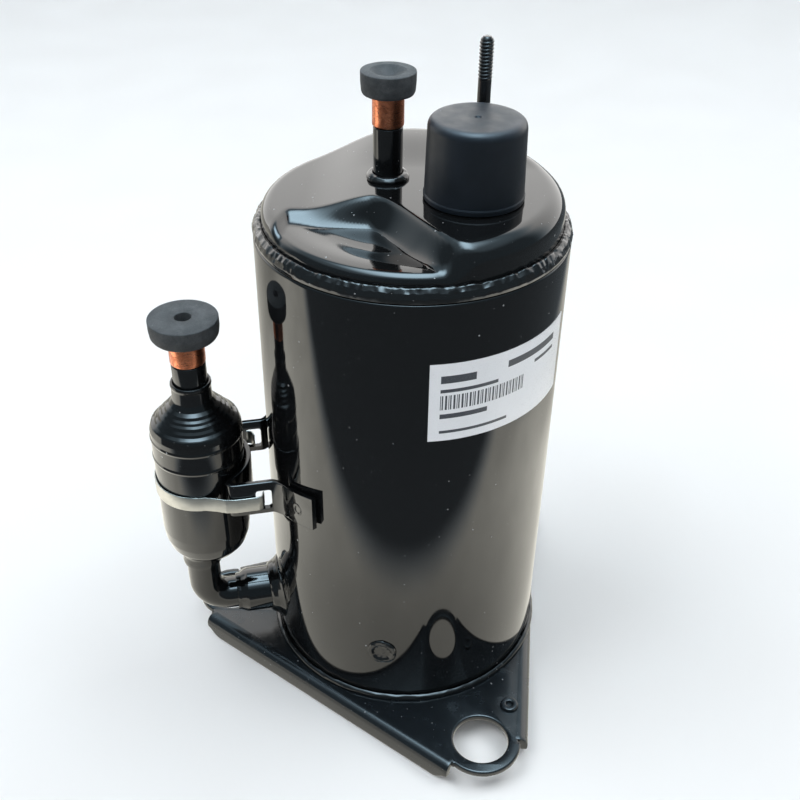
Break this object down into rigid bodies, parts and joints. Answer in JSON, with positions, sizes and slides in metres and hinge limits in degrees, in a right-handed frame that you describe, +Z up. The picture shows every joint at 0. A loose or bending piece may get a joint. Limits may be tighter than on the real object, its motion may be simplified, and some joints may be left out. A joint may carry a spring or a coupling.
{
  "type": "rotary compressor",
  "caption": "Upright hermetic rotary compressor with a side accumulator, domed cap, terminal cover and triangular foot plate.",
  "frame": {"origin": "on the shell's axis, in the plane that the base plate's flanges and the bottom cap stand on", "axes": "+Z up along the shell's axis, the accumulator towards -X, the terminal cover to the front right (+X, -Y)"},
  "size_m": [0.1716, 0.1839, 0.271],
  "materials": {
    "gloss_black": "deep gloss enamel with faint orange peel and dust specks",
    "base_black": "satin blue-black paint",
    "dark_steel": "black oxide on threads and heads",
    "copper": "bare copper with brown oxide stains",
    "rubber": "matt dark grey moulded rubber",
    "cover_plastic": "satin navy-black moulded plastic",
    "pale_plastic": "plain moulded connector",
    "lead_sleeve": "woven sleeving",
    "terminal_glass": "fused glass seal",
    "bare_steel": "dull bare steel",
    "ground_steel": "ground and oiled",
    "cast_iron": "machined and oiled",
    "rotor_aluminium": "die cast",
    "brass": "turned brass",
    "winding": "lacquered copper wire, laced",
    "label": null
  },
  "bodies": {
    "casing": {"shell_tube": "gloss_black", "top_cap": "gloss_black", "top_weld": "gloss_black", "bottom_cap": "gloss_black", "bottom_weld": "gloss_black", "plug_weld_1": "gloss_black", "plug_weld_2": "gloss_black", "plug_weld_3": "gloss_black", "base_plate": "base_black", "label": "label", "cover_stud": "dark_steel", "discharge_tube": "gloss_black", "discharge_weld": "gloss_black", "discharge_stub": "copper", "terminal_gasket": "rubber", "terminal_body": "bare_steel", "terminal_glass": "terminal_glass", "terminal_pin_1": "bare_steel", "terminal_pin_2": "bare_steel", "terminal_pin_3": "bare_steel", "lead_connector": "pale_plastic", "motor_lead": "lead_sleeve", "accumulator_shell": "gloss_black", "accumulator_inlet": "gloss_black", "accumulator_stub": "copper", "strainer": "bare_steel", "baffle": "bare_steel", "suction_pipe": "gloss_black", "suction_sleeve": "gloss_black", "suction_collar": "gloss_black", "accumulator_bracket": "gloss_black", "accumulator_band": "bare_steel", "stator_core": "cast_iron", "winding_upper": "winding", "winding_lower": "winding", "main_bearing": "cast_iron", "cylinder": "cast_iron", "sub_bearing": "cast_iron", "vane_spring": "ground_steel", "reed_stop": "bare_steel", "reed_rivet": "bare_steel", "muffler": "bare_steel", "pump_bolt_1": "dark_steel", "pump_bolt_2": "dark_steel", "pump_bolt_3": "dark_steel", "pump_bolt_4": "dark_steel"},
    "crank": {"crankshaft": "ground_steel", "oil_paddle": "bare_steel", "rotor_core": "cast_iron", "rotor_ring_upper": "rotor_aluminium", "rotor_ring_lower": "rotor_aluminium", "balance_weight_upper": "brass", "balance_weight_lower": "brass"},
    "roller": {"roller": "ground_steel"},
    "vane": {"vane": "ground_steel"},
    "reed": {"discharge_reed": "ground_steel"},
    "terminal_cover": {"terminal_cover": "cover_plastic"},
    "discharge_plug": {"discharge_plug": "rubber"},
    "suction_plug": {"suction_plug": "rubber"}
  },
  "joints": [
    {"name": "crank_spin", "type": "hinge", "parent": "casing", "child": "crank", "pos_m": [0, 0, 0.03], "axis": [0, 0, 1], "continuous": true},
    {"name": "roller_spin", "type": "hinge", "parent": "crank", "child": "roller", "pos_m": [0.0045, -0.00014, 0.031], "axis": [0, 0, 1], "continuous": true},
    {"name": "vane_slide", "type": "slide", "parent": "casing", "child": "vane", "axis": [-0.7285, -0.6851, 0], "range_m": [-0.0076, 0]},
    {"name": "reed_lift", "type": "hinge", "parent": "casing", "child": "reed", "pos_m": [0.01512, -0.01931, 0.0494], "axis": [-0.0565, 0.9984, 0], "range_deg": [0, 6], "stiffness_Nm_per_rad": 0.01},
    {"name": "cover_lift", "type": "slide", "parent": "casing", "child": "terminal_cover", "axis": [0, 0, 1], "range_m": [0, 0.06]},
    {"name": "discharge_plug_pull", "type": "slide", "parent": "casing", "child": "discharge_plug", "axis": [0, 0, 1], "range_m": [0, 0.03]},
    {"name": "suction_plug_pull", "type": "slide", "parent": "casing", "child": "suction_plug", "axis": [0, 0, 1], "range_m": [0, 0.03]}
  ],
  "couplings": [
    {"joint": "roller_spin", "follows": "crank_spin", "ratio": -1}
  ]
}
